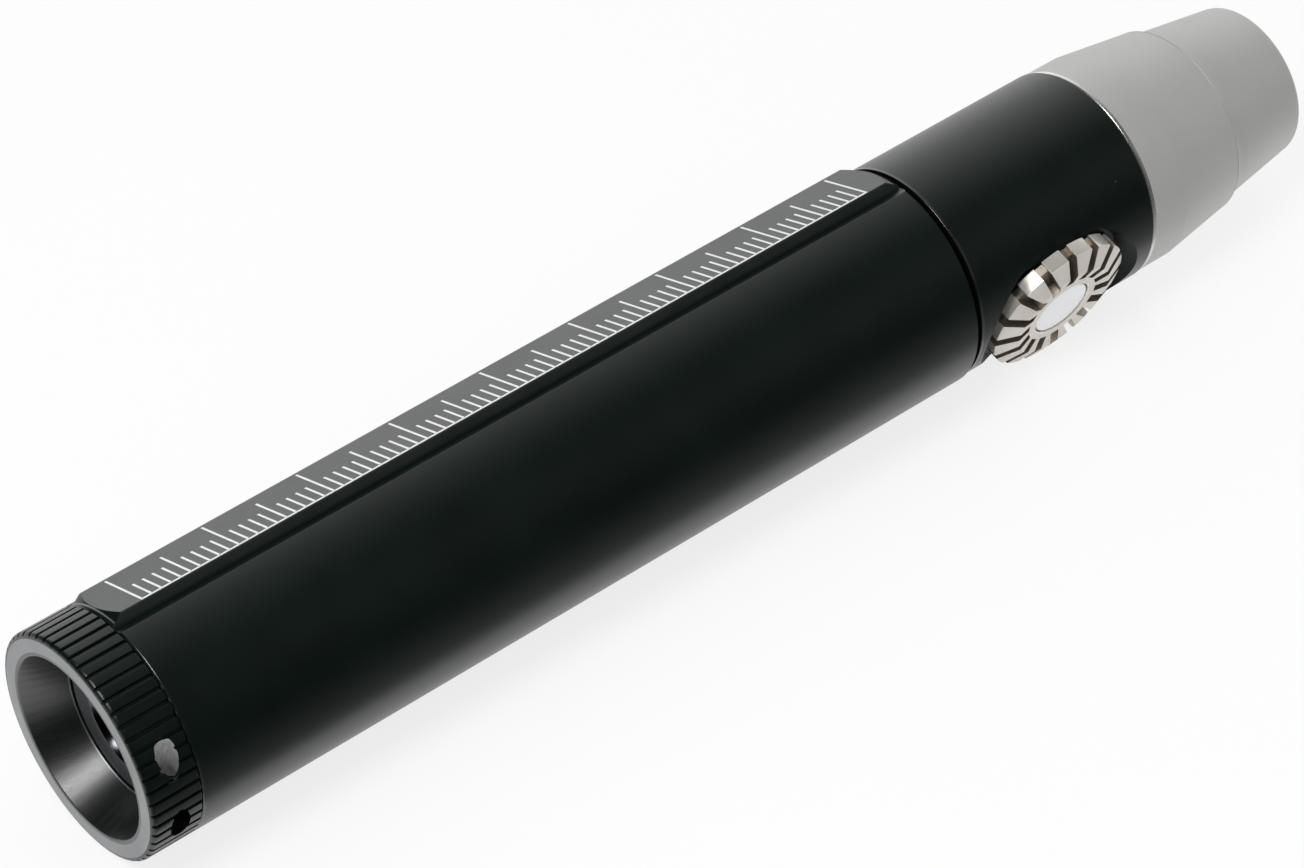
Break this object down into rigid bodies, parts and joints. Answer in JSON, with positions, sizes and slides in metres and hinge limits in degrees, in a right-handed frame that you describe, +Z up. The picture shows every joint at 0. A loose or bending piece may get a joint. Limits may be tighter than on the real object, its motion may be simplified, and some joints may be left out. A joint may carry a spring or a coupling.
{
  "type": "uv flashlight",
  "caption": "Slim black tube flashlight with a funnel bezel over a dark lens, a ruler rail, a toothed dimmer dial with a push button, and a bare metal tail cone.",
  "frame": {"origin": "under the middle of the flashlight as it lies on its tube and the edge of its dial", "axes": "+X along the tube from the light to the tail, +Z up, the dial on the -Y side"},
  "size_m": [0.1362, 0.0234, 0.0224],
  "materials": {
    "black_anodised": "black anodised, satin",
    "grey_metal": "bead blasted, satin",
    "nickel": "nickel plated, semi gloss",
    "retainer_metal": "dark grey, matt",
    "dark_glass": "polished, near black",
    "white_plastic": "white, semi gloss",
    "black_rubber": "matt",
    "bare_metal": "machined",
    "clear_resin": "clear",
    "white_ceramic": "matt",
    "brass": "machined",
    "steel": "bright",
    "green_board": "board",
    "black_plastic": "matt",
    "ferrite": "matt",
    "cell_wrap": "blue shrink wrap over the can",
    "cell_paper": "matt"
  },
  "bodies": {
    "tube": {"battery_tube": "black_anodised", "led_dome": "clear_resin", "led_base": "white_ceramic", "led_board": "bare_metal", "led_screw_left": "steel", "led_screw_right": "steel", "led_pill": "brass", "driver_board": "green_board", "driver_coil": "ferrite", "driver_chip": "black_plastic", "front_contact": "brass", "insulator_ring": "black_plastic", "cell_cap": "steel", "cell_washer": "cell_paper", "cell_can": "cell_wrap"},
    "bezel_seal": {"bezel_oring": "black_rubber"},
    "bezel": {"bezel_ring": "black_anodised", "lens_retainer": "retainer_metal", "filter_lens": "dark_glass", "lens_gasket": "black_rubber", "lens_nut": "bare_metal"},
    "head_seal": {"head_oring": "black_rubber"},
    "head": {"dial_housing": "black_anodised", "rear_spring": "steel", "rear_contact_board": "green_board", "contact_ring": "brass", "dial_bushing": "brass", "dimmer_body": "black_plastic", "board_carrier": "black_plastic", "control_board": "green_board", "board_screw_front": "steel", "board_screw_rear": "steel", "control_chip": "black_plastic", "smoothing_capacitor": "bare_metal", "push_switch": "black_plastic"},
    "dial": {"dial_knob": "nickel", "dial_shaft": "steel", "shaft_clip": "steel"},
    "button": {"dial_button": "white_plastic", "button_plunger": "steel"},
    "tail_seal": {"tail_oring": "black_rubber"},
    "tail": {"tail_cone": "grey_metal"}
  },
  "joints": [
    {"name": "bezel_draw", "type": "slide", "parent": "tube", "child": "bezel_seal", "axis": [-1, 0, 0], "range_m": [0, 0.0032]},
    {"name": "bezel_screw", "type": "hinge", "parent": "bezel_seal", "child": "bezel", "pos_m": [0, 0.00076, 0.0109], "axis": [-1, 0, 0], "range_deg": [0, 1440]},
    {"name": "head_draw", "type": "slide", "parent": "tube", "child": "head_seal", "axis": [1, 0, 0], "range_m": [0, 0.0032]},
    {"name": "head_screw", "type": "hinge", "parent": "head_seal", "child": "head", "pos_m": [0, 0.00076, 0.0109], "axis": [1, 0, 0], "range_deg": [0, 1440]},
    {"name": "dial_turn", "type": "hinge", "parent": "head", "child": "dial", "pos_m": [0.03467, 0.00076, 0.0109], "axis": [0, -0.9281, -0.3724], "range_deg": [0, 280]},
    {"name": "button_press", "type": "slide", "parent": "dial", "child": "button", "axis": [0, 0.9281, 0.3724], "range_m": [0, 0.00045], "stiffness_N_per_m": 800},
    {"name": "tail_draw", "type": "slide", "parent": "head", "child": "tail_seal", "axis": [1, 0, 0], "range_m": [0, 0.0032]},
    {"name": "tail_screw", "type": "hinge", "parent": "tail_seal", "child": "tail", "pos_m": [0, 0.00076, 0.0109], "axis": [1, 0, 0], "range_deg": [0, 1440]}
  ],
  "couplings": [
    {"joint": "bezel_draw", "follows": "bezel_screw", "m_per_rad": 0.00012732},
    {"joint": "head_draw", "follows": "head_screw", "m_per_rad": 0.00012732},
    {"joint": "tail_draw", "follows": "tail_screw", "m_per_rad": 0.00012732}
  ]
}
